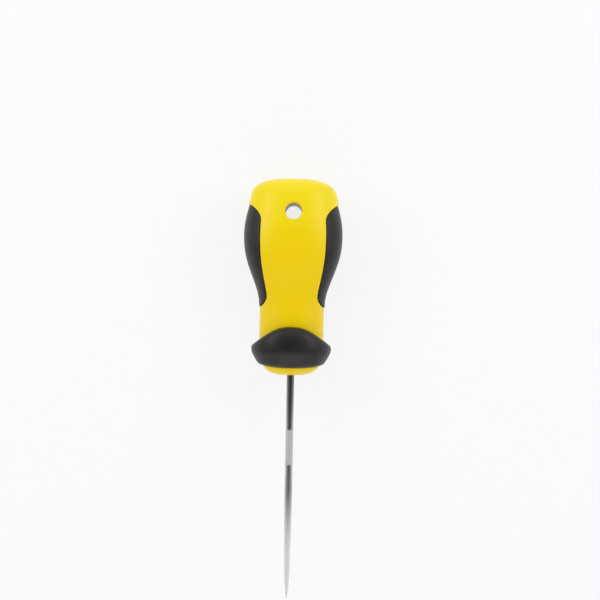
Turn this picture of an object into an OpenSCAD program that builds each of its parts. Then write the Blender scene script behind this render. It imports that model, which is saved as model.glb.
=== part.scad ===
// Carpenter's bradawl with a two-colour handle, lying on its back with the blade towards -Y.
// Places along the tool are distances from the butt, which points to +Y.

/* [Handle] */
// Length of the handle, from butt to nose
handle_len = 65.6; // [64:0.1:90]
// Width across the butt, where its corners have rounded off
butt_w = 27.8; // [25:0.2:31]
// Depth of the butt, front to back
butt_d = 22; // [20:0.2:24]
// Length of the butt's rounded corners
butt_round = 6.2; // [3:0.1:8]
// Width across the bulge
bulge_w = 33; // [31:0.2:38]
// Depth of the bulge, front to back, which the collar shares so that the tool lies level
bulge_d = 26; // [24:0.2:31]
// Distance from the butt to the widest place
bulge_at = 18.8; // [17:0.2:22]
// Distance from where the waist begins to the end of the nose
waist_to_nose = 22.3; // [21:0.1:25]
// Width across the waist
waist_w = 21.4; // [20:0.1:23]
// Depth of the waist
waist_d = 19.6; // [18.6:0.1:22]
// Width across the nose
nose_w = 18.9; // [17:0.1:20]
// Depth of the nose
nose_d = 17.6; // [16.6:0.1:19]
// Length of the nose's rounded end
nose_round = 3.8; // [2:0.1:4.4]
// Diameter of the flat that it leaves round the blade
nose_flat_d = 5; // [5:0.1:9]

/* [Hanging hole] */
// Distance from the butt to the middle of the hole
hang_hole_at = 11.3; // [10:0.1:12.5]
// Diameter of the hole
hang_hole_d = 5.5; // [3:0.1:6.5]
// Width of the bevel round each mouth of the hole
hang_hole_bevel = 0.7; // [0.2:0.1:1]

/* [Side grips] */
// Distance from the butt to the grips' upper ends
grip_at = 8.8; // [8:0.1:10]
// Distance from the grips' lower ends to the waist
grip_above_waist = 0.3; // [0.2:0.1:3]
// Thickness of the grips
grip_t = 2.4; // [1.6:0.1:2.8]
// How far the edges of the grips lie below the hard surface
grip_edge_drop = 0.3; // [0.1:0.05:0.8]
// How far their lower ends stand above it
grip_toe = 0.3; // [0:0.05:0.6]
// Length of their rounded upper ends
grip_top_round = 6; // [3:0.1:7]
// Length of their rounded lower ends
grip_low_round = 4; // [3:0.1:6]
// Half of the angle that a grip takes round the bulge, in degrees
grip_top_angle = 52; // [44:0.5:55]
// Half of the angle that a grip takes round its lower end, in degrees
grip_low_angle = 43.5; // [36:0.5:46]

/* [Front collar] */
// Width across the crest of the collar
collar_w = 26.7; // [24.5:0.1:28]
// Distance from the crest to the end of the nose
collar_crest_to_nose = 8.8; // [8:0.1:10]
// Length of the collar above its crest, at the sides
collar_up = 1.7; // [1.6:0.1:3.2]
// How much further up it reaches on the front and back
collar_front_rise = 5.4; // [3:0.1:6]
// Length of the collar below its crest, at the sides
collar_down = 5.3; // [3:0.1:5.8]
// How much further down it reaches on the front and back
collar_front_drop = 0.8; // [0.2:0.1:1.4]
// Depth of the collar's seat below the hard surface
collar_seat = 1.6; // [1:0.1:2]
// How far the edges of the collar stand above the hard surface
collar_edge = 0.5; // [0.1:0.05:0.8]

/* [Blade] */
// Length of the blade, from nose to tip
blade_len = 75; // [50:1:120]
// Diameter of the round shank
blade_d = 2.5; // [2:0.1:2.6]
// Length of the tapered end, point included
taper_len = 32; // [20:1:40]
// Diameter where the taper turns into the point
point_d = 1.9; // [0.8:0.1:1.9]
// Length of the point
point_len = 9; // [3:0.5:14]
// Diameter of the blunted tip
tip_d = 0.24; // [0.1:0.02:0.6]

/* [Tang and core] */
// Diameter of the tang, which is thicker than the shank, so that its shoulder backs the blade
tang_d = 3; // [2.9:0.1:4.6]
// Thickness of the core behind the end of the tang
tang_cover = 5.9; // [3:0.1:10]
// Width across the two flattened wings that stop the tang turning
wing_w = 5.6; // [4.6:0.1:7]
// Thickness of the wings
wing_t = 1.2; // [0.8:0.1:1.6]
// Length of the wings
wing_len = 10; // [6:0.5:11]
// Distance from the end of the tang to the wings
wing_inset = 5; // [3:0.5:8]
// Distance from the butt to the core
core_at = 18; // [17:0.1:19]
// Diameter of the core in the bulge
core_d = 15; // [13:0.2:17]
// Diameter of the core in the neck
core_neck_d = 10.4; // [9.6:0.1:11]
// Distance from the core to the end of the nose
core_to_nose = 9.5; // [7:0.1:11]
// Depth of the grooves that key the core into the body
key_depth = 0.9; // [0.5:0.1:1.2]
// Length of each groove
key_len = 2; // [1:0.1:2.4]
// Distance from one groove to the next
key_pitch = 4.4; // [4:0.1:5]

/* [Hidden] */
$fn = 64;

// Outline powers: how full the butt's corners are, how late the neck begins, how square a
// section is and how full the collar is
butt_power = 2.6;
neck_power = 1.2;
squareness = 2.4;
collar_power = 2.5;
// How gently the collar's lower edge turns at the sides
collar_low_power = 1.4;
// Steepness of the grips' crowns, and bluntness of the blade's point, where 1 is a cone
crown_power = 4;
point_power = 0.65;

// Facets: columns over a grip and over a face, rows over each stretch of the handle
side_cols = 18;
face_cols = 18;
half_cols = side_cols + face_cols;
cols = 2 * half_cols;
butt_rows = 12;
butt_row_power = 2.2;
grip_rows = 28;
waist_rows = 5;
collar_rows = 10;
nose_rows = 6;
crest_row = collar_rows / 2;
grip_start = butt_rows - 1;
grip_stop = grip_start + grip_rows;
collar_start = grip_stop + waist_rows;
collar_stop = collar_start + collar_rows;
rings = collar_stop + nose_rows + 1;

// Steps along the blade's point, which gather at its tip
point_rows = 8;
point_row_power = 1.6;

// Gap left round the soft pieces, and how far a cutting shape overruns
seam = 0.05;
over = 0.5;

butt_y = (handle_len + blade_len) / 2;
axis_z = bulge_d / 2;
nose_edge = handle_len - nose_round;
collar_crest = handle_len - collar_crest_to_nose;
waist_at = handle_len - waist_to_nose;
grip_end = waist_at - grip_above_waist;
core_end = handle_len - core_to_nose;
tang_at = core_at + tang_cover;
tang_len = handle_len - tang_at;
seam_angle = atan(seam / axis_z);

function ease(t) = (1 - cos(180 * max(0, min(1, t)))) / 2;

// A section's rounding: the share of its half width or depth at an angle's cosine or sine
function rounded(v) = sign(v) * pow(abs(v), 2 / squareness);

// How far the handle has narrowed from bulge, 0, to waist, 1
function necked(s) = ease(pow(max(0, s - bulge_at) / (waist_at - bulge_at), neck_power));

// How far the butt's corners have filled out, from 0 at the butt to 1
function filled(s) =
    pow(1 - pow(max(0, 1 - s / butt_round), butt_power), 1 / butt_power);

// Half of the hard body's width or depth at a distance from the butt
function hard_half(s, butt, bulge, waist, nose) =
    s < bulge_at ? (butt + (bulge - butt) * ease(s / bulge_at)) * filled(s)
    : s < collar_crest ? bulge + (waist - bulge) * necked(s)
    : s < nose_edge ? waist + (nose - waist) * ease((s - collar_crest) / (nose_edge - collar_crest))
    : let (run = min(1, (s - nose_edge) / nose_round))
        nose_flat_d / 2 + (nose - nose_flat_d / 2) * sqrt(1 - pow(run, 2));
function hard_half_w(s) = hard_half(s, butt_w / 2, bulge_w / 2, waist_w / 2, nose_w / 2);
function hard_half_d(s) = hard_half(s, butt_d / 2, bulge_d / 2, waist_d / 2, nose_d / 2);

// A point of a section with given half width and half depth, 0 degrees right and 90 front
function section_point(s, angle, half_w, half_d) =
    [half_w * rounded(cos(angle)), butt_y - s, axis_z + half_d * rounded(sin(angle))];
function hard_point(s, angle, drop = 0) =
    section_point(s, angle, hard_half_w(s) - drop, hard_half_d(s) - drop);

// Edges of the grips: across is -1 to 1 over a grip, and 1 on the faces between the grips
function end_curve(across) = 1 - sqrt(1 - pow(across, 2));
function grip_top(across) = grip_at + grip_top_round * end_curve(across);
function grip_low(across) = grip_end - grip_low_round * end_curve(across);
function grip_angle(s) = grip_top_angle + (grip_low_angle - grip_top_angle) * necked(s);

// Edges of the collar, which dip and rise round the handle
function collar_top(angle) = collar_crest - collar_up - collar_front_rise * pow(sin(angle), 2);
function collar_low(angle) =
    collar_crest + collar_down + collar_front_drop * pow(abs(sin(angle)), collar_low_power);

// Half of the collar's width or depth, from the hard body's at this place and at the crest:
// a quarter of a full ellipse on either side of the crest
function collar_half(s, angle, hard, hard_crest, crest) =
    let (edge = s < collar_crest ? collar_top(angle) : collar_low(angle),
         run = min(1, abs((s - collar_crest) / (edge - collar_crest))))
    hard + collar_edge + (crest - hard_crest - collar_edge)
        * pow(1 - pow(run, collar_power), 1 / collar_power);
function collar_point(s, angle) = section_point(s, angle,
    collar_half(s, angle, hard_half_w(s), hard_half_w(collar_crest), collar_w / 2),
    collar_half(s, angle, hard_half_d(s), hard_half_d(collar_crest), bulge_d / 2));

// Place of a row of the collar at an angle: one row runs along the crest, and rows crowd at edges
function collar_row_at(i, top, low) =
    let (edge = i < crest_row ? top : low)
    collar_crest + (edge - collar_crest) * sin(90 * abs(i - crest_row) / crest_row);

// Columns of the hard body's facets, gathered so that the grips' edges fall on columns
function over_grip(j) = j % half_cols < side_cols;
function col_across(j) = over_grip(j) ? 2 * (j % half_cols) / side_cols - 1 : 1;
function col_angle(j, s) =
    let (k = j % half_cols, half_turn = j < half_cols ? 0 : 180, edge = grip_angle(s))
    half_turn + (over_grip(j) ? col_across(j) * edge
        : edge + (180 - 2 * edge) * (k - side_cols) / face_cols);

// Rows of the hard body's facets, bent so that the edges of grips and collar fall on rows
function row_at(i, j) =
    let (top = grip_top(col_across(j)), low = grip_low(col_across(j)),
         angle = col_angle(j, waist_at), ring = collar_top(angle), lip = collar_low(angle))
    i <= grip_start ? top * pow((i + 1) / butt_rows, butt_row_power)
    : i <= grip_stop ? top + (low - top) * (i - grip_start) / grip_rows
    : i <= collar_start ? low + (ring - low) * (i - grip_stop) / waist_rows
    : i <= collar_stop ? collar_row_at(i - collar_start, ring, lip)
    : lip + (handle_len - lip) * sin(90 * (i - collar_stop) / nose_rows);
function seat_depth(i) = i <= grip_stop ? grip_t : collar_seat;
function is_seat(i, j) = i >= grip_start && i < grip_stop ? over_grip((j + cols) % cols)
    : i >= collar_start && i < collar_stop;

// Two triangles of a facet, clockwise from outside, and the same seen from inside
function facet(a, b, c, d) = [[a, b, c], [a, c, d]];
function flipped(a, b, c, d) = facet(d, c, b, a);

// Hard skin with its seats: proud points first, then sunk points, then the two end points
module hard_skin() {
    count = rings * cols;
    proud = [for (i = [0:rings - 1], j = [0:cols - 1])
        let (s = row_at(i, j)) hard_point(s, col_angle(j, s))];
    sunk = [for (i = [0:rings - 1], j = [0:cols - 1])
        let (s = row_at(i, j)) hard_point(s, col_angle(j, s), seat_depth(i))];
    ends = [[0, butt_y, axis_z], [0, butt_y - handle_len, axis_z]];
    function at(i, j) = i * cols + (j + cols) % cols;
    function level(i, j) = is_seat(i, j) ? count : 0;
    cells = [for (i = [0:rings - 2], j = [0:cols - 1]) let (l = level(i, j))
        each facet(at(i, j) + l, at(i + 1, j) + l, at(i + 1, j + 1) + l, at(i, j + 1) + l)];
    row_walls = [for (i = [1:rings - 2], j = [0:cols - 1])
        let (here = is_seat(i, j), above = is_seat(i - 1, j),
             a = at(i, j), b = at(i, j + 1))
        if (here != above)
            each here ? facet(b, a, a + count, b + count) : flipped(b, a, a + count, b + count)];
    col_walls = [for (i = [0:rings - 2], j = [0:cols - 1])
        let (here = is_seat(i, j), beside = is_seat(i, j - 1),
             a = at(i, j), b = at(i + 1, j))
        if (here != beside)
            each here ? facet(a, b, b + count, a + count) : flipped(a, b, b + count, a + count)];
    caps = [for (j = [0:cols - 1]) each [
        [2 * count, at(0, j), at(0, j + 1)],
        [at(rings - 1, j), 2 * count + 1, at(rings - 1, j + 1)]]];
    polyhedron(concat(proud, sunk, ends), concat(cells, row_walls, col_walls, caps));
}

// Closed pad between an outer and an inner grid of points, open-ended or joined into a ring
module pad(outer, inner, joined) {
    rows = len(outer);
    width = len(outer[0]);
    count = rows * width;
    spans = joined ? width : width - 1;
    function at(i, j) = i * width + j % width;
    skin = [for (i = [0:rows - 2], j = [0:spans - 1])
        let (a = at(i, j), b = at(i + 1, j), c = at(i + 1, j + 1), d = at(i, j + 1))
        each concat(facet(a, b, c, d), flipped(a + count, b + count, c + count, d + count))];
    ends = [for (j = [0:spans - 1])
        let (a = at(0, j), b = at(0, j + 1), c = at(rows - 1, j), d = at(rows - 1, j + 1))
        each concat(facet(a, b, b + count, a + count), flipped(c, d, d + count, c + count))];
    sides = joined ? [] : [for (i = [0:rows - 2])
        let (a = at(i, 0), b = at(i + 1, 0), c = at(i, width - 1), d = at(i + 1, width - 1))
        each concat(flipped(a, b, b + count, a + count), facet(c, d, d + count, c + count))];
    polyhedron([for (g = [outer, inner], row = g, p = row) p], concat(skin, ends, sides));
}

// Soft inlay over the right side: its crown is flush, its edges lie a little below, and its
// lower end stands proud
module grip() {
    function place(i, k) =
        let (across = 2 * k / side_cols - 1, along = i / grip_rows,
             top = grip_top(across) + seam, low = grip_low(across) - seam,
             s = top + (low - top) * along)
        [s, across * (grip_angle(s) - seam_angle), across, 2 * along - 1];
    function edge_drop(across, along) =
        grip_edge_drop * (1 - (1 - pow(across, crown_power))
            * (1 - pow(min(0, along), crown_power))) - grip_toe * pow(max(0, along), crown_power);
    grid = [for (i = [0:grip_rows]) [for (k = [0:side_cols]) place(i, k)]];
    outer = [for (row = grid) [for (p = row) hard_point(p[0], p[1], edge_drop(p[2], p[3]))]];
    inner = [for (row = grid) [for (p = row) hard_point(p[0], p[1], grip_t - seam)]];
    pad(outer, inner, false);
}

// Puts its children at a distance from the butt, with their +Z towards the tip
module along_tool(s) {
    translate([0, butt_y - s, axis_z]) rotate([90, 0, 0]) children();
}

// Core's outside, which is also the cavity in the hard body
module core_shape() {
    end_round = core_neck_d / 4;
    barrel = core_d / 2;
    neck = core_neck_d / 2;
    shoulder = (core_at + core_end) / 2 - core_neck_d / 2;
    along_tool(0) difference() {
        rotate_extrude() polygon([
            [0, core_at], [barrel - end_round, core_at], [barrel, core_at + end_round],
            [barrel, shoulder - core_d / 4], [neck, shoulder + core_d / 4],
            [neck, core_end], [0, core_end]]);
        for (s = [core_at + key_pitch:key_pitch:shoulder - core_d / 4 - key_len])
            key_groove(s, barrel);
        for (s = [shoulder + core_d / 4 + key_len:key_pitch:core_end - key_pitch])
            key_groove(s, neck);
    }
}

module key_groove(s, r) {
    rotate_extrude() translate([r - key_depth, s]) square([key_depth + over, key_len]);
}

// Tang with its wings, which is also the cavity in the core
module tang_shape() {
    slope = (wing_w - tang_d) / 4;
    along_tool(tang_at) {
        cylinder(h = tang_len, d = tang_d);
        translate([0, 0, wing_inset]) rotate([90, 0, 0])
            linear_extrude(height = wing_t, center = true) polygon([
                [-tang_d / 2, 0], [tang_d / 2, 0], [wing_w / 2, slope],
                [wing_w / 2, wing_len - slope], [tang_d / 2, wing_len],
                [-tang_d / 2, wing_len], [-wing_w / 2, wing_len - slope], [-wing_w / 2, slope]]);
    }
}

module hang_hole() {
    face = hard_half_d(hang_hole_at);
    translate([0, butt_y - hang_hole_at, axis_z]) {
        cylinder(h = bulge_d + 2 * over, d = hang_hole_d, center = true);
        for (side = [0, 1]) mirror([0, 0, side]) translate([0, 0, face - hang_hole_bevel])
            cylinder(h = hang_hole_bevel + over, r1 = hang_hole_d / 2,
                r2 = hang_hole_d / 2 + hang_hole_bevel + over);
    }
}

module handle_body() {
    color([0.97, 0.84, 0.1]) difference() {
        hard_skin();
        core_shape();
        along_tool(core_end - over) cylinder(h = core_to_nose + 2 * over, d = tang_d);
        hang_hole();
    }
}

module handle_core() {
    color("dimgray") difference() {
        core_shape();
        tang_shape();
    }
}

module grip_right() {
    color([0.15, 0.15, 0.16]) grip();
}

module grip_left() {
    color([0.15, 0.15, 0.16]) mirror([1, 0, 0]) grip();
}

module front_collar() {
    function place(i, j) =
        let (angle = 360 * j / cols, top = collar_top(angle) + seam, low = collar_low(angle) - seam)
        [collar_row_at(i, top, low), angle];
    grid = [for (i = [0:collar_rows]) [for (j = [0:cols - 1]) place(i, j)]];
    outer = [for (row = grid) [for (p = row) collar_point(p[0], p[1])]];
    inner = [for (row = grid) [for (p = row) hard_point(p[0], p[1], collar_seat - seam)]];
    color([0.15, 0.15, 0.16]) pad(outer, inner, true);
}

module blade() {
    shank_len = blade_len - taper_len;
    color("silver") {
        tang_shape();
        along_tool(handle_len) rotate_extrude() polygon([
            [0, 0], [blade_d / 2, 0], [blade_d / 2, shank_len],
            for (i = [0:point_rows]) let (t = pow(1 - i / point_rows, point_row_power))
                [(tip_d + (point_d - tip_d) * pow(t, point_power)) / 2, blade_len - point_len * t],
            [0, blade_len]]);
    }
}

handle_body();
handle_core();
grip_left();
grip_right();
front_collar();
blade();
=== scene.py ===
# Carpenter's bradawl with a two-colour handle, lying on its back with the blade towards -Y.
# The tool's sizes are in millimetres. Places along it are distances from the butt, which points
# to +Y, and they become metres of the shared frame when a mesh is made. Camera, lamps and floor
# are in metres. Angles are in degrees unless a comment says otherwise.

import math

import bmesh
import bpy
import numpy as np
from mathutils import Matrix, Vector, kdtree


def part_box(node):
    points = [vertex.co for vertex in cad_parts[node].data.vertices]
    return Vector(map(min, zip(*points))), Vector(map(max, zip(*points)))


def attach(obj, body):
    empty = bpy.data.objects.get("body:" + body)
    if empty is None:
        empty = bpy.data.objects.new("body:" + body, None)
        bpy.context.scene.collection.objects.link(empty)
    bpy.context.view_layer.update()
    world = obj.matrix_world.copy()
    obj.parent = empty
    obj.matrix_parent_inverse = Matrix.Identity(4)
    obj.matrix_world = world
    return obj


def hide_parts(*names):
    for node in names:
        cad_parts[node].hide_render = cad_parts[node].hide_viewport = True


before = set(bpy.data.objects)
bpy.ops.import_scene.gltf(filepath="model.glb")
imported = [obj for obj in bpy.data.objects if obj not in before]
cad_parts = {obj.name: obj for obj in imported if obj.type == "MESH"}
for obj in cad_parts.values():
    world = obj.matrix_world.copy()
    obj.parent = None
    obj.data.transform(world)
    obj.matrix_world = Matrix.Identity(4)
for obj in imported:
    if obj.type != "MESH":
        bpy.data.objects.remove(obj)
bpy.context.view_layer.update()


# Camera: straight above the front of the tool, as on a copy stand, with a long lens. It is turned
# a little, because the tool leans in the picture with its butt to the right.
camera_lens = 100
camera_place = (0.00266, 0.0298, 0.571)
camera_turn = 1.12

camera_data = bpy.data.cameras.new("camera")
camera_data.lens = camera_lens
camera = bpy.data.objects.new("camera", camera_data)
camera.location = camera_place
camera.rotation_euler = (0, 0, math.radians(camera_turn))
bpy.context.scene.collection.objects.link(camera)
bpy.context.scene.camera = camera
bpy.context.scene.view_settings.view_transform = "Standard"


# Floor: a plain sheet of white board that takes the tool's soft shadow. To the camera and in
# reflections it is nearly all its own white, so that it stays white where little light falls.
class Socket:
    """A socket of a node tree. Python sums on it add Math nodes, and node() adds any other."""

    def __init__(self, tree, output=None):
        self.tree = tree
        self.output = output

    def node(self, kind, settings, inputs, result=0):
        """Adds a node: its settings first, then the values or links of its inputs."""
        node = self.tree.nodes.new(kind)
        for name, value in settings.items():
            setattr(node, name, value)
        for key, value in inputs.items():
            if isinstance(value, Socket):
                value.into(node.inputs[key])
            else:
                node.inputs[key].default_value = value
        return Socket(self.tree, node.outputs[result])

    def into(self, target):
        self.tree.links.new(self.output, target)

    def math(self, operation, *values):
        return self.node("ShaderNodeMath", {"operation": operation}, dict(enumerate(values)))

    def __add__(self, other):
        return self.math("ADD", self, other)

    def __sub__(self, other):
        return self.math("SUBTRACT", self, other)

    def __rsub__(self, other):
        return self.math("SUBTRACT", other, self)

    def __mul__(self, other):
        return self.math("MULTIPLY", self, other)

    __radd__ = __add__
    __rmul__ = __mul__


floor_half_size = 1.5
floor_own_white = 0.82
board_white = 0.86
board_roughness = 0.9

bpy.ops.mesh.primitive_plane_add(size=2 * floor_half_size, location=(0, 0, 0))
floor = bpy.context.object
floor.name = "floor"
board = bpy.data.materials.new("white_board")
board.use_nodes = True
board_nodes = Socket(board.node_tree)
board_shader = board.node_tree.nodes["Principled BSDF"]
board_shader.inputs["Base Color"].default_value = (board_white, board_white, board_white, 1)
board_shader.inputs["Roughness"].default_value = board_roughness
rays = [board_nodes.node("ShaderNodeLightPath", {}, {}, f"Is {kind} Ray")
        for kind in ("Camera", "Glossy", "Transmission")]
shown = board_nodes.math("MAXIMUM", rays[0], board_nodes.math("MAXIMUM", rays[1], rays[2]))
own_white = board_nodes.node("ShaderNodeEmission", {}, {"Color": (1, 1, 1, 1), "Strength": 1})
lit_white = Socket(board.node_tree, board_shader.outputs["BSDF"])
board_mix = board_nodes.node("ShaderNodeMixShader", {}, {
    0: shown * floor_own_white, 1: lit_white, 2: own_white})
board_mix.into(board.node_tree.nodes["Material Output"].inputs["Surface"])
floor.data.materials.append(board)


# Light: a tent with white end walls beyond butt and tip, and a wide dark gap between them that
# runs over the tool from left to right, which bright steel needs. A soft lamp stands to either side
# behind the butt, and one hangs over the tip.
def add_lamp(name, place, aim, width, length, power):
    """A soft rectangular lamp, in metres and watts, that faces the point it is aimed at."""
    data = bpy.data.lights.new(name, "AREA")
    data.shape = "RECTANGLE"
    data.size = width
    data.size_y = length
    data.energy = power
    lamp = bpy.data.objects.new(name, data)
    lamp.location = place
    lamp.rotation_euler = (Vector(aim) - Vector(place)).to_track_quat("-Z", "Y").to_euler()
    bpy.context.scene.collection.objects.link(lamp)


def greys(value, stops):
    """Greys of a colour ramp over a value, as places from 0 to 1 and their levels."""
    ramp = value.node("ShaderNodeValToRGB", {}, {0: value})
    elements = ramp.output.node.color_ramp.elements
    while len(elements) < len(stops):
        elements.new(0.5)
    for element, (position, level) in zip(elements, stops):
        element.position = position
        element.color = (level, level, level, 1)
    return ramp


def level_between(value, low, high):
    """A smooth step from 0 at low to 1 at high."""
    return value.node("ShaderNodeMapRange", {"interpolation_type": "SMOOTHSTEP"}, {
        "Value": value, "From Min": low, "From Max": high})


def along_axis(value, axis):
    """The X, Y or Z of a vector."""
    return value.node("ShaderNodeSeparateXYZ", {}, {0: value}, axis)


# Brightness of the tent between its end walls, from the horizon, 0, to overhead, 1. A direction
# meets the gap where its share along the tool is below gap_to, and an end wall above wall_from.
side_stops = [(0.0, 0.85), (0.15, 0.65), (0.45, 0.4), (0.65, 0.18), (1.0, 0.1)]
end_level = 1.1
gap_to = 0.35
wall_from = 0.6

tent = bpy.data.worlds.new("tent")
bpy.context.scene.world = tent
tent.use_nodes = True
tent_nodes = Socket(tent.node_tree)
direction = tent_nodes.node("ShaderNodeTexCoord", {}, {}, "Generated")
sides = greys(along_axis(direction, "Z"), side_stops)
to_end = tent_nodes.math("ABSOLUTE", along_axis(direction, "Y"))
ends = level_between(to_end, gap_to, wall_from)
backdrop = tent.node_tree.nodes["Background"]
(sides * (1 - ends) + end_level * ends).into(backdrop.inputs["Color"])
backdrop.inputs["Strength"].default_value = 1

for name, side in (("lamp_butt_left", -1), ("lamp_butt_right", 1)):
    add_lamp(name, place=(side * 0.26, 0.15, 0.24), aim=(0, 0.045, 0.013),
             width=0.2, length=0.16, power=0.35)
add_lamp("lamp_tip", place=(0, -0.36, 0.3), aim=(0, 0, 0.013),
         width=0.5, length=0.2, power=0.25)


# Hard body of the handle: one injection moulding in yellow polypropylene over the core. It has
# the hanging hole and a seat for each side grip and for the collar, with rounded edges.
MM = 0.001
tiny = 1e-6
sharp_angle = 50

body_low, body_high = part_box("handle_body")
butt_y = body_high.y / MM
axis_z = (body_low.z + body_high.z) / 2 / MM
handle_len = (body_high.y - body_low.y) / MM
bulge_half_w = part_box("grip_right")[1].x / MM
bulge_half_d = body_high.z / MM - axis_z
bulge_at = 18.8
butt_half_w = 27.8 / 2
butt_half_d = 22 / 2
butt_round = 6.2
waist_at = handle_len - 22.3
waist_half_w = 21.4 / 2
waist_half_d = 19.6 / 2
nose_half_w = 18.9 / 2
nose_half_d = 17.6 / 2
nose_flat = 2.5
nose_round = 3.8
nose_edge = handle_len - nose_round
butt_power = 2.6
neck_power = 1.2
squareness = 2.4
collar_power = 2.5

grip_at = 8.8
grip_end = waist_at - 0.3
grip_thickness = 2.4
grip_top_round = 6
grip_low_round = 4
grip_top_angle = 52
grip_low_angle = 43.5

collar_crest = handle_len - 8.8
collar_up = 1.7
collar_front_rise = 5.4
collar_down = 5.3
collar_front_drop = 0.8
collar_low_power = 1.4
collar_seat = 1.6


def cos_deg(angle):
    return np.cos(np.radians(angle))


def sin_deg(angle):
    return np.sin(np.radians(angle))


def ease(t):
    """From 0 to 1, slow at both ends."""
    return (1 - np.cos(np.pi * np.clip(t, 0, 1))) / 2


def rounded(v):
    return np.sign(v) * np.abs(v) ** (2 / squareness)


def necked(s):
    """How far the handle has narrowed from bulge, 0, to waist, 1."""
    return ease((np.clip(s - bulge_at, 0, None) / (waist_at - bulge_at)) ** neck_power)


def hard_half(s, butt, bulge, waist, nose):
    """Half of the hard body's width or depth at a distance from the butt."""
    filled = (1 - np.clip(1 - s / butt_round, 0, 1) ** butt_power) ** (1 / butt_power)
    swell = (butt + (bulge - butt) * ease(s / bulge_at)) * filled
    neck = bulge + (waist - bulge) * necked(s)
    flare = waist + (nose - waist) * ease((s - collar_crest) / (nose_edge - collar_crest))
    end_run = np.clip((s - nose_edge) / nose_round, 0, 1)
    end = nose_flat + (nose - nose_flat) * np.sqrt(1 - end_run ** 2)
    return np.select([s < bulge_at, s < collar_crest, s < nose_edge], [swell, neck, flare], end)


def half_w(s):
    return hard_half(s, butt_half_w, bulge_half_w, waist_half_w, nose_half_w)


def half_d(s):
    return hard_half(s, butt_half_d, bulge_half_d, waist_half_d, nose_half_d)


def section_point(s, angle, width, depth):
    """Points of sections with these half widths and depths: 0 degrees is right, 90 is front."""
    x = width * rounded(cos_deg(angle))
    z = axis_z + depth * rounded(sin_deg(angle))
    return np.stack(np.broadcast_arrays(x, butt_y - s, z), -1)


def hard_point(s, angle, drop=0.0):
    return section_point(s, angle, half_w(s) - drop, half_d(s) - drop)


def grip_top(across):
    """Upper edge of a grip, where across runs from -1 to 1 over it."""
    return grip_at + grip_top_round * (1 - np.sqrt(1 - across ** 2))


def grip_low(across):
    return grip_end - grip_low_round * (1 - np.sqrt(1 - across ** 2))


def grip_angle(s):
    return grip_top_angle + (grip_low_angle - grip_top_angle) * necked(s)


def collar_top(angle):
    return collar_crest - collar_up - collar_front_rise * sin_deg(angle) ** 2


def collar_low(angle):
    sides = np.abs(sin_deg(angle)) ** collar_low_power
    return collar_crest + collar_down + collar_front_drop * sides


def shares(count, first, last):
    """Shares from 0 to 1 in count steps; first and last are the end steps, 1 being the mean."""
    t = np.linspace(0, 1, count + 1)
    return (first + last - 2) * t ** 3 + (3 - 2 * first - last) * t ** 2 + first * t


def smooth_step(t):
    t = np.clip(t, 0, 1)
    return t * t * (3 - 2 * t)


def quads(grid, joined):
    """Faces between the neighbours in a grid of point numbers, joined round if asked."""
    if joined:
        grid = np.hstack([grid, grid[:, :1]])
    corners = [grid[:-1, :-1], grid[1:, :-1], grid[1:, 1:], grid[:-1, 1:]]
    return np.stack(corners, -1).reshape(-1, 4).tolist()


def fan(pole, ring):
    """Triangles between a pole's number and a closed ring of point numbers."""
    return [[pole, a, b] for a, b in zip(ring, np.roll(ring, -1))]


def distance_to(border, points):
    """Distance from each point of a grid to the nearest point of a finely sampled border."""
    tree = kdtree.KDTree(len(border))
    for number, point in enumerate(border):
        tree.insert(point, number)
    tree.balance()
    flat = points.reshape(-1, 3)
    return np.array([tree.find(point)[2] for point in flat]).reshape(points.shape[:-1])


def rounded_edge(distance, radius):
    """How far a rounded edge has dropped at a distance from the edge."""
    short = np.clip(radius - distance, 0, radius)
    return radius - np.sqrt(radius ** 2 - short ** 2)


def add_piece(name, points, faces, material, node):
    """Makes a closed mesh from points in millimetres that stands for a node of the tool."""
    mesh = bpy.data.meshes.new(name)
    mesh.from_pydata((np.asarray(points) * MM).tolist(), [], faces)
    build = bmesh.new()
    build.from_mesh(mesh)
    # Facets that the hanging hole replaces leave their points behind
    loose = [vertex for vertex in build.verts if not vertex.link_faces]
    bmesh.ops.delete(build, geom=loose, context="VERTS")
    bmesh.ops.recalc_face_normals(build, faces=build.faces)
    build.to_mesh(mesh)
    build.free()
    mesh.shade_smooth()
    mesh.set_sharp_from_angle(angle=math.radians(sharp_angle))
    mesh.materials.append(material)
    piece = bpy.data.objects.new(name, mesh)
    bpy.context.scene.collection.objects.link(piece)
    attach(piece, "root")
    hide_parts(node)


# Columns run round the handle: over the right grip, the front, the left grip and the back.
# Rows run along it. Both are bent so that the edges of grips and collar fall on them.
grip_steps = 44
face_steps = 60
butt_row_steps = 50
grip_row_steps = 90
waist_row_steps = 34
collar_row_steps = 8
nose_row_steps = 30
wall_share = 0.003

between_walls = (2 * shares(grip_steps, 0.3, 0.3) - 1) * (1 - wall_share)
grip_columns = np.concatenate([[-1], between_walls, [1]])
face_columns = shares(face_steps, 0.3, 0.3)[1:-1]
grip_count = len(grip_columns)
half_count = grip_count + len(face_columns)
columns = 2 * half_count
turn = np.tile(np.concatenate([grip_columns, np.ones(len(face_columns))]), 2)
face_share = np.tile(np.concatenate([np.zeros(grip_count), face_columns]), 2)
is_grip = np.tile(np.arange(half_count) < grip_count, 2)
half_turn = np.repeat([0, 180], half_count)


def column_angle(s):
    """Angle of every column at a distance from the butt."""
    edge = grip_angle(s)
    return half_turn + np.where(is_grip, turn * edge, edge + (180 - 2 * edge) * face_share)


def seat_rows(count):
    """Shares of the rows over a seat: a steep wall at either end."""
    return np.concatenate([[0], wall_share + (1 - 2 * wall_share) * shares(count, 0.4, 0.4)])


waist_angles = column_angle(waist_at)
row_bounds = np.stack([grip_top(turn), grip_low(turn),
                       collar_top(waist_angles), collar_low(waist_angles)])

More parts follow.
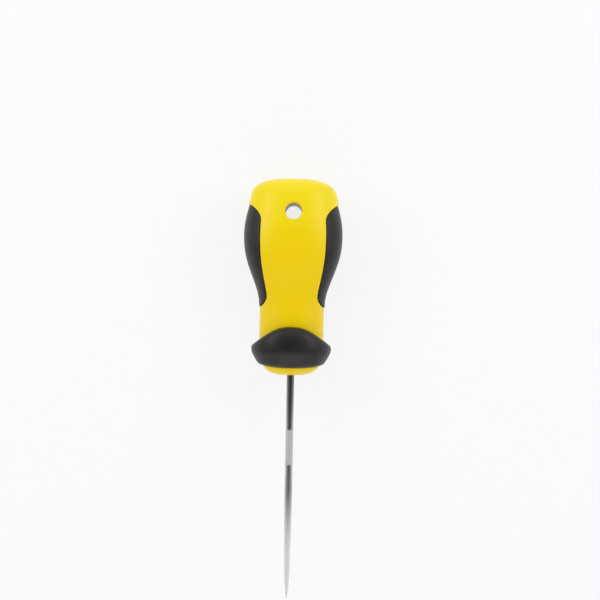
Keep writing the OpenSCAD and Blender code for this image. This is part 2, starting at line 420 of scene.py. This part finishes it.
# The butt's rows are spread by the length of its outline, which is sampled more closely towards
# the butt's end. The nose's rows gather at its round end.
profile_samples = 4000
profile_power = 3

profile_s = bulge_at * np.linspace(0, 1, profile_samples) ** profile_power
profile_steps = np.hypot(np.diff(profile_s), np.diff(half_w(profile_s)))
profile_run = np.concatenate([[0], np.cumsum(profile_steps)])
butt_run = np.interp(row_bounds[0], profile_s, profile_run)
butt_shares = shares(butt_row_steps, 0.5, 0.25)[1:-1, None]
butt_rows = np.interp(butt_shares * butt_run, profile_run, profile_s)


def stretch(rows, start, stop):
    """Rows at shares of the way from one bound to another, in every column."""
    return start + (stop - start) * np.asarray(rows)[:, None]


grip_stretch = stretch(seat_rows(grip_row_steps), row_bounds[0], row_bounds[1])
waist_stretch = stretch(shares(waist_row_steps, 0.25, 0.25)[:-1], row_bounds[1], row_bounds[2])
collar_stretch = stretch(seat_rows(collar_row_steps), row_bounds[2], row_bounds[3])
nose_stretch = stretch(sin_deg(90 * shares(nose_row_steps, 0.25, 0.8)), row_bounds[3], handle_len)
s_rows = np.concatenate([butt_rows, grip_stretch, waist_stretch, collar_stretch, nose_stretch])
angles = np.stack([column_angle(s) for s in s_rows])

row_number = np.arange(len(s_rows))[:, None]
grip_first = len(butt_rows)
grip_last = grip_first + len(grip_stretch)
collar_first = grip_last + len(waist_stretch)
collar_last = collar_first + len(collar_stretch)
in_grip = (row_number > grip_first) & (row_number < grip_last) & is_grip & (np.abs(turn) < 1)
in_collar = (row_number > collar_first) & (row_number < collar_last) & np.ones(columns, bool)

# Borders of the seats, sampled finely, on the right and on the left side
border_samples = 1200

fine = np.linspace(-1, 1, border_samples)
side_s = np.linspace(grip_top(1.0), grip_low(1.0), border_samples)
edge_runs = [(grip_top(fine), fine * grip_angle(grip_top(fine))),
             (grip_low(fine), fine * grip_angle(grip_low(fine))),
             (side_s, grip_angle(side_s)), (side_s, -grip_angle(side_s))]
right_border = np.concatenate([hard_point(s, angle) for s, angle in edge_runs])
grip_border = np.concatenate([right_border, right_border * [-1, 1, 1]])
ring_angles = np.linspace(0, 360, 3 * border_samples)
top_border = hard_point(collar_top(ring_angles), ring_angles)
low_border = hard_point(collar_low(ring_angles), ring_angles)

edge_radius = 0.4

plain_points = hard_point(s_rows, angles)
to_seat = distance_to(np.concatenate([grip_border, top_border, low_border]), plain_points)
drop = rounded_edge(to_seat, edge_radius)
drop = np.where(in_grip, grip_thickness, np.where(in_collar, collar_seat, drop))
skin = hard_point(s_rows, angles, drop)

# A shallow round dish at the middle of the butt, where the mould's gate was
dish_radius = 2.2
dish_flat_radius = 0.7 * dish_radius
dish_depth = 0.3

from_axis = np.hypot(skin[..., 0], skin[..., 2] - axis_z)
at_butt = s_rows < grip_at / 2
dish_rim = smooth_step((from_axis - dish_flat_radius) / (dish_radius - dish_flat_radius))
dish = dish_depth * (1 - dish_rim)
skin[..., 1] -= np.where(at_butt, dish, 0)

# Core's outline from its butt end to its nose end, as places along the tool and radii
core_at = 18
core_end = handle_len - 9.5
core_radius = 15 / 2
core_neck_radius = 10.4 / 2
core_end_round = core_neck_radius / 2
core_shoulder = (core_at + core_end) / 2 - core_neck_radius
shoulder_half = core_radius / 2
groove_depth = 0.9
groove_len = 2
groove_pitch = 4.4
tang_radius = 3 / 2


def grooves(first, stop, radius):
    """Corners of the grooves that key the core, from first on and not past stop."""
    starts = np.arange(first, stop + tiny, groove_pitch)
    low = radius - groove_depth
    return [corner for s in starts for corner in (
        (s, radius), (s, low), (s + groove_len, low), (s + groove_len, radius))]


core_outline = [
    (core_at, core_radius - core_end_round), (core_at + core_end_round, core_radius),
    *grooves(core_at + groove_pitch, core_shoulder - shoulder_half - groove_len, core_radius),
    (core_shoulder - shoulder_half, core_radius), (core_shoulder + shoulder_half, core_neck_radius),
    *grooves(core_shoulder + shoulder_half + groove_len, core_end - groove_pitch, core_neck_radius),
    (core_end, core_neck_radius)]

# Inside of the body: from the nose's flat end down the tang's bore and round the core's cavity
bore_round = 0.35
bore_round_steps = 5


def round_ring(s, radius, turn_angles):
    """A circle round the tool's axis, with its points at these angles."""
    x = radius * cos_deg(turn_angles)
    z = axis_z + radius * sin_deg(turn_angles)
    return np.stack([x, np.full(len(turn_angles), butt_y - s), z], -1)


lip_ring = round_ring(handle_len, tang_radius + bore_round, angles[-1])
flat_rings = [skin[-1] + (lip_ring - skin[-1]) * share for share in (0.25, 0.5, 0.75)]
lip_outline = [(handle_len - bore_round * (1 - cos_deg(lean)),
                tang_radius + bore_round * (1 - sin_deg(lean)))
               for lean in np.linspace(0, 90, bore_round_steps + 1)]
inner_outline = [*lip_outline, (core_end, tang_radius), *reversed(core_outline)]
inner_rings = [round_ring(s, radius, angles[-1]) for s, radius in inner_outline]
rings = np.concatenate([skin, flat_rings, inner_rings])
ring_numbers = np.arange(rings.shape[0] * columns).reshape(-1, columns)
body_points = list(rings.reshape(-1, 3))
body_points += [[0, butt_y - dish_depth, axis_z], [0, butt_y - core_at, axis_z]]
poles = [len(body_points) - 2, len(body_points) - 1]

# Hanging hole: a rectangle of facets on the front and one on the back give way to rings that
# run from its edge to the rounded mouth and straight through
hole_at = 11.3
hole_radius = 5.5 / 2
hole_lip = 0.7
hole_lip_steps = 7
hole_wall_steps = 11
patch_half = 5.4
patch_steps = 10

front_columns = np.arange(grip_count, half_count)
hole_row = int(np.argmin(np.abs(s_rows[:, grip_count] - hole_at)))
patch_rows = np.nonzero(np.abs(s_rows[:grip_last, grip_count] - hole_at) < patch_half)[0]
patch_columns = front_columns[np.abs(plain_points[hole_row, front_columns, 0]) < patch_half]
top_row, low_row = patch_rows[0], patch_rows[-1]
first_col, last_col = patch_columns[0], patch_columns[-1]
edge_rows = np.concatenate([
    np.full(last_col - first_col, top_row), np.arange(top_row, low_row),
    np.full(last_col - first_col, low_row), np.arange(low_row, top_row, -1)])
edge_cols = np.concatenate([
    np.arange(first_col, last_col), np.full(low_row - top_row, last_col),
    np.arange(last_col, first_col, -1), np.full(low_row - top_row, first_col)])

# Column c of the front is mirrored on the back by column grip_count - 1 - c, counted round
back_cols = (grip_count - 1 - edge_cols) % columns

# Edge of the patch, with its angles round the hole in radians
patch_x = skin[edge_rows, edge_cols, 0]
patch_s = butt_y - skin[edge_rows, edge_cols, 1]
around = np.arctan2(patch_s - hole_at, patch_x)


def face_ring(x, s, sunk=0.0):
    """A ring on the body's front face, sunk below it."""
    z = half_d(s) * (1 - (np.abs(x) / half_w(s)) ** squareness) ** (1 / squareness)
    return np.stack([x, butt_y - s, axis_z + z - sunk], -1)


def circle(radius, sunk=0.0):
    return face_ring(radius * np.cos(around), hole_at + radius * np.sin(around), sunk)


mouth_radius = hole_radius + hole_lip
mouth_edge = circle(mouth_radius)
hole_rings = []
for share in shares(patch_steps, 1, 0.5)[1:-1]:
    x = patch_x + (mouth_edge[:, 0] - patch_x) * share
    s = patch_s + (butt_y - mouth_edge[:, 1] - patch_s) * share
    hole_rings.append(face_ring(x, s))
for lean in np.linspace(0, 90, hole_lip_steps + 1):
    lip_radius = mouth_radius - hole_lip * sin_deg(lean)
    hole_rings.append(circle(lip_radius, hole_lip * (1 - cos_deg(lean))))
front_rings = np.array(hole_rings)
back_rings = front_rings * [1, 1, -1] + [0, 0, 2 * axis_z]
wall_rings = [front_rings[-1] + (back_rings[-1] - front_rings[-1]) * share
              for share in np.linspace(0, 1, hole_wall_steps + 1)[1:-1]]
hole_points = np.concatenate([front_rings, wall_rings, back_rings[::-1]])
hole_first = len(body_points)
hole_numbers = hole_first + np.arange(hole_points.shape[0] * hole_points.shape[1])
hole_grid = np.vstack([ring_numbers[edge_rows, edge_cols], hole_numbers.reshape(-1, len(edge_cols)),
                       ring_numbers[edge_rows, back_cols]])
body_points += list(hole_points.reshape(-1, 3))

gone = set()
for col in range(first_col, last_col):
    for row in range(top_row, low_row):
        gone.add((row, col))
        gone.add((row, (grip_count - 2 - col) % columns))
body_faces = [face for number, face in enumerate(quads(ring_numbers, True))
              if divmod(number, columns) not in gone]
body_faces += fan(poles[0], ring_numbers[0]) + fan(poles[1], ring_numbers[-1])
body_faces += quads(hole_grid, True)


def new_material(name, fixed):
    """A new material, its Principled shader with fixed inputs set, and places in millimetres."""
    material = bpy.data.materials.new(name)
    material.use_nodes = True
    shader = material.node_tree.nodes["Principled BSDF"]
    for key, value in fixed.items():
        shader.inputs[key].default_value = value
    tree = Socket(material.node_tree)
    place = tree.node("ShaderNodeTexCoord", {}, {}, "Object")
    scaled = tree.node("ShaderNodeVectorMath", {"operation": "SCALE"}, {0: place, "Scale": 1 / MM})
    return material, shader, scaled


def noise(place, size, detail=2.0, roughness=0.5):
    """Soft noise from 0 to 1 with features of a size in millimetres."""
    return place.node("ShaderNodeTexNoise", {}, {
        "Vector": place, "Scale": 1 / size, "Detail": detail, "Roughness": roughness})


def mix_colours(share, low, high):
    """Goes from one colour to another: a link or four numbers each.

    Of the Mix node's sockets, inputs 6 and 7 and output 2 are the colours.
    """
    return share.node("ShaderNodeMix", {"data_type": "RGBA"}, {0: share, 6: low, 7: high}, 2)


def stretched(place, x, y, z):
    """Places with each direction scaled, to draw a pattern out."""
    return place.node("ShaderNodeVectorMath", {"operation": "MULTIPLY"}, {0: place, 1: (x, y, z)})


def add_bump(height, shader, depth):
    """Feeds a height from 0 to 1 as relief of a depth in millimetres into a shader's normal."""
    relief = height.node("ShaderNodeBump", {}, {
        "Strength": 1.0, "Distance": depth * MM, "Height": height}, "Normal")
    relief.into(shader.inputs["Normal"])


# Painted light: the yellow is a lighter lemon at the butt, standing in for the stronger light that
# falls there, and goes to a warmer, darker tone at the waist, standing in for less light. Noise
# makes the border between them wander.
yellow_painted_lit_butt = (0.95, 0.76, 0.006, 1)
yellow_painted_shaded_waist = (0.92, 0.65, 0.001, 1)
light_fade_from = 6
light_fade_len = 32
fade_wander = 12

yellow, yellow_shader, at = new_material("yellow_polypropylene", {
    "IOR": 1.49, "Specular IOR Level": 0.27})
from_butt = butt_y - along_axis(at, "Y")
fade_noise = noise(at, size=16, detail=3)
haze = noise(at, size=4, detail=4)
peel = noise(at, size=0.9, detail=2)
grain = noise(at, size=0.16, detail=2)
scuffs = noise(stretched(at, 1.0, 0.12, 1.0), size=0.22, detail=4, roughness=0.65)
# Painted light: share from the lit lemon yellow of the butt to the shaded, warmer yellow of the
# waist
painted_light_fade = level_between(from_butt + fade_wander * fade_noise, light_fade_from, light_fade_from + light_fade_len)
scuffed = level_between(scuffs, 0.62, 0.8)
mix_colours(painted_light_fade, yellow_painted_lit_butt, yellow_painted_shaded_waist).into(yellow_shader.inputs["Base Color"])
(0.3 + 0.1 * haze + 0.12 * scuffed).into(yellow_shader.inputs["Roughness"])
add_bump(peel * 0.6 + grain * 0.3 + scuffs * 0.1, yellow_shader, depth=0.03)

add_piece("hard_body", body_points, body_faces, yellow, "handle_body")


# Side grips: soft black rubber moulded into the seats on either side of the bulge. Their crowns are
# flush with the hard body, their upper and side edges lie a little below it, and their lower ends
# stand a little proud of it.
seam = 0.05
grip_edge_drop = 0.3
grip_edge_radius = 0.4
grip_toe = 0.3
crown_power = 4
seam_angle = math.degrees(math.atan(seam / axis_z))
pad_across_steps = 48
pad_along_steps = 110

across = 2 * shares(pad_across_steps, 0.2, 0.2) - 1
along = shares(pad_along_steps, 0.2, 0.2)[:, None]
pad_s = (grip_top(across) + seam) * (1 - along) + (grip_low(across) - seam) * along
pad_angle = across * (grip_angle(pad_s) - seam_angle)
pad_flat = hard_point(pad_s, pad_angle)
to_toe = 2 * along - 1
crown = (1 - across ** crown_power) * (1 - np.minimum(0, to_toe) ** crown_power)
pad_drop = grip_edge_drop * (1 - crown) - grip_toe * np.maximum(0, to_toe) ** crown_power
pad_drop = pad_drop + rounded_edge(distance_to(right_border, pad_flat) - seam, grip_edge_radius)
pad_outer = hard_point(pad_s, pad_angle, pad_drop)
pad_inner = hard_point(pad_s, pad_angle, grip_thickness - seam)


def closed_pad(outer, inner, joined):
    """Points and faces of a closed pad between an outer and an inner grid of points."""
    count = outer.shape[0] * outer.shape[1]
    top = np.arange(count).reshape(outer.shape[:2])
    under = top + count
    faces = quads(top, joined) + quads(under, joined)
    faces += quads(np.stack([top[0], under[0]]), joined)
    faces += quads(np.stack([top[-1], under[-1]]), joined)
    if not joined:
        faces += quads(np.stack([top[:, 0], under[:, 0]]), False)
        faces += quads(np.stack([top[:, -1], under[:, -1]]), False)
    return np.concatenate([outer.reshape(-1, 3), inner.reshape(-1, 3)]), faces


rubber_dark = (0.012, 0.0105, 0.0098, 1)
rubber_worn = (0.021, 0.019, 0.0175, 1)

rubber, rubber_shader, at = new_material("black_rubber", {
    "IOR": 1.5, "Specular IOR Level": 0.33})
bloom = noise(at, size=7, detail=3)
dust = noise(at, size=0.8, detail=4)
stipple = noise(at, size=0.22, detail=3, roughness=0.6)
wear = level_between(bloom * 0.6 + dust * 0.4, 0.35, 0.7)
mix_colours(wear, rubber_dark, rubber_worn).into(rubber_shader.inputs["Base Color"])
(0.33 + 0.12 * bloom + 0.08 * stipple).into(rubber_shader.inputs["Roughness"])
add_bump(stipple, rubber_shader, depth=0.025)

pad_points, pad_faces = closed_pad(pad_outer, pad_inner, False)
add_piece("right_grip", pad_points, pad_faces, rubber, "grip_right")
add_piece("left_grip", pad_points * [-1, 1, 1], pad_faces, rubber, "grip_left")


# Front collar: a swollen ring of the same rubber, moulded into its seat near the nose. It keeps
# the hand off the blade, and its crest is the widest place of the handle's front end.
collar_edge = 0.5
crest_half_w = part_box("front_collar")[1].x / MM
crest_half_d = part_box("front_collar")[1].z / MM - axis_z
lens_rows = 26
lens_columns = 240

lens_angles = np.linspace(0, 360, lens_columns, endpoint=False)
lens_top = collar_top(lens_angles) + seam
lens_low = collar_low(lens_angles) - seam
lens_turn = np.linspace(-90, 90, 2 * lens_rows + 1)[:, None]
lens_reach = np.where(lens_turn < 0, collar_crest - lens_top, lens_low - collar_crest)
lens_s = collar_crest + lens_reach * sin_deg(lens_turn)
swell = (1 - np.abs(sin_deg(lens_turn)) ** collar_power) ** (1 / collar_power)
inside_w = half_w(np.float64(collar_crest))
inside_d = half_d(np.float64(collar_crest))
lens_w = half_w(lens_s) + collar_edge + (crest_half_w - inside_w - collar_edge) * swell
lens_d = half_d(lens_s) + collar_edge + (crest_half_d - inside_d - collar_edge) * swell
lens_outer = section_point(lens_s, lens_angles, lens_w, lens_d)
lens_inner = hard_point(lens_s, lens_angles, collar_seat - seam)

lens_points, lens_faces = closed_pad(lens_outer, lens_inner, True)
add_piece("collar", lens_points, lens_faces, rubber, "front_collar")


# Core: the first, hard shot of grey plastic round the blade's tang. It is hidden in the handle,
# where it keys the tang to the yellow body, so it is left as it leaves its mould.
core_dark = (0.065, 0.065, 0.068, 1)
core_light = (0.085, 0.085, 0.088, 1)

core, core_shader, at = new_material("grey_core_plastic", {"IOR": 1.5})
flow = noise(at, size=5, detail=3)
mix_colours(flow, core_dark, core_light).into(core_shader.inputs["Base Color"])
(0.55 + 0.15 * noise(at, size=1.2, detail=3)).into(core_shader.inputs["Roughness"])
add_bump(noise(at, size=0.3, detail=3), core_shader, depth=0.04)
core_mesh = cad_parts["handle_core"].data
core_mesh.materials.clear()
core_mesh.materials.append(core)


# Blade: one length of round steel. Its tang keeps the full stock and is pressed flat into two
# wings, its shank is ground down, and its long taper is ground to a fine point. The steel is darker
# near the nose and lighter towards the tip.
blade_end = butt_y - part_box("blade")[0].y / MM
blade_len = blade_end - handle_len
shank_radius = 2.5 / 2
taper_at = blade_end - 32
point_len = 9
point_at = blade_end - point_len
point_radius = 1.9 / 2
tip_radius = 0.24 / 2
point_power = 0.65
tang_at = core_at + 5.9
wing_half_w = 5.6 / 2
wing_half_t = 1.2 / 2
wing_at = tang_at + 5
wing_end = wing_at + 10
wing_slope = (wing_half_w - tang_radius) / 2
turn_blend = 0.8
turn_samples = 9
before_turn = 1
ring_gap = 0.1
shank_row_steps = 29
taper_row_steps = 59
point_row_steps = 50
blade_columns = 72

turn_angles = np.linspace(0, 360, blade_columns, endpoint=False)


def blade_radius(s):
    """Radius of the ground blade, with its corners eased over a short length."""
    def outline(place):
        to_tip = np.clip((blade_end - place) / point_len, 0, 1)
        point = tip_radius + (point_radius - tip_radius) * to_tip ** point_power
        taper = np.interp(place, [taper_at, point_at], [shank_radius, point_radius])
        return np.where(place < point_at, taper, point)

    blend = min(turn_blend, blade_end - s)
    return np.mean(outline(s + blend * np.linspace(-1, 1, turn_samples)))


def winged_ring(s, reach):
    """A section of the tang whose two flat wings reach this far from its axis."""
    ring = round_ring(s, 1, turn_angles) - [0, butt_y - s, axis_z]
    across_wing = reach / np.maximum(np.abs(ring[:, 0]), tiny)
    through_wing = wing_half_t / np.maximum(np.abs(ring[:, 2]), tiny)
    radius = np.maximum(tang_radius, np.minimum(across_wing, through_wing))
    return ring * radius[:, None] + [0, butt_y - s, axis_z]


tang_rings = [winged_ring(s, reach) for s, reach in (
    (tang_at, tang_radius), (wing_at, tang_radius), (wing_at + wing_slope, wing_half_w),
    (wing_end - wing_slope, wing_half_w), (wing_end, tang_radius), (handle_len, tang_radius))]

# Each stretch of the blade ends a little before the next turn of its outline, and from there on
# the rings lie closer, so that they follow the eased turn and the point
taper_from = taper_at - before_turn + ring_gap
point_from = point_at - before_turn + ring_gap
ground_s = np.concatenate([
    np.linspace(handle_len, taper_at - before_turn, shank_row_steps + 1),
    np.linspace(taper_from, point_at - before_turn, taper_row_steps + 1),
    point_from + (blade_end - point_from) * shares(point_row_steps, 1.2, 0.05)])
ground_rings = [round_ring(s, blade_radius(s), turn_angles) for s in ground_s]
blade_rings = np.array(tang_rings + ground_rings)
blade_numbers = np.arange(blade_rings.shape[0] * len(turn_angles)).reshape(-1, len(turn_angles))
blade_points = list(blade_rings.reshape(-1, 3))
blade_points += [[0, butt_y - tang_at, axis_z], [0, butt_y - blade_end, axis_z]]
blade_faces = quads(blade_numbers, True)
blade_faces += fan(len(blade_points) - 2, blade_numbers[0])
blade_faces += fan(len(blade_points) - 1, blade_numbers[-1])

# Places of the steel's tone and roughness, of its frosted panel and of the stretch where lines
# along it give way to lines round it are shares of the way from the nose, 0, to the tip, 1
# The steel's colour along the blade: darker near the nose, lighter towards the tip, with a dip just
# past the panel
tone_stops = [(0.0, 0.23), (0.12, 0.31), (0.22, 0.48), (0.42, 0.58), (0.51, 0.46), (0.57, 0.57),
              (0.68, 0.73), (0.8, 0.85)]
rough_stops = [(0.0, 0.15), (0.2, 0.18), (0.42, 0.26), (0.52, 0.34), (0.62, 0.46), (0.72, 0.62)]
frosted_steel = (0.62, 0.62, 0.62, 1)
panel_from = 0.247
panel_to = 0.4
panel_fray = 0.014
panel_low_edge = 0.1
panel_high_edge = 0.6
drawn_to = 0.5
ground_from = 0.75

steel, steel_shader, at = new_material("ground_steel", {"Metallic": 1.0})
from_nose = (butt_y - along_axis(at, "Y") - handle_len) * (1 / blade_len)
above_axis = along_axis(at, "Z") - axis_z
tone = greys(from_nose, tone_stops)
polish = greys(from_nose, rough_stops)
frayed = from_nose + panel_fray * noise(at, size=0.5, detail=3)
panel = (level_between(frayed, panel_from, panel_from + panel_fray)
         * (1 - level_between(frayed, panel_to, panel_to + panel_fray))
         * level_between(above_axis, panel_low_edge, panel_high_edge))
draw_lines = noise(stretched(at, 1.0, 0.02, 1.0), size=0.12, detail=3, roughness=0.6)
grind_lines = noise(stretched(at, 0.08, 1.0, 0.08), size=0.1, detail=3, roughness=0.6)
ground = level_between(from_nose, drawn_to, ground_from)
mix_colours(panel, tone, frosted_steel).into(steel_shader.inputs["Base Color"])
(polish + 0.45 * panel + 0.06 * draw_lines).into(steel_shader.inputs["Roughness"])
add_bump(draw_lines * (1 - ground) + grind_lines * ground, steel_shader, depth=0.004)

add_piece("steel_blade", blade_points, blade_faces, steel, "blade")
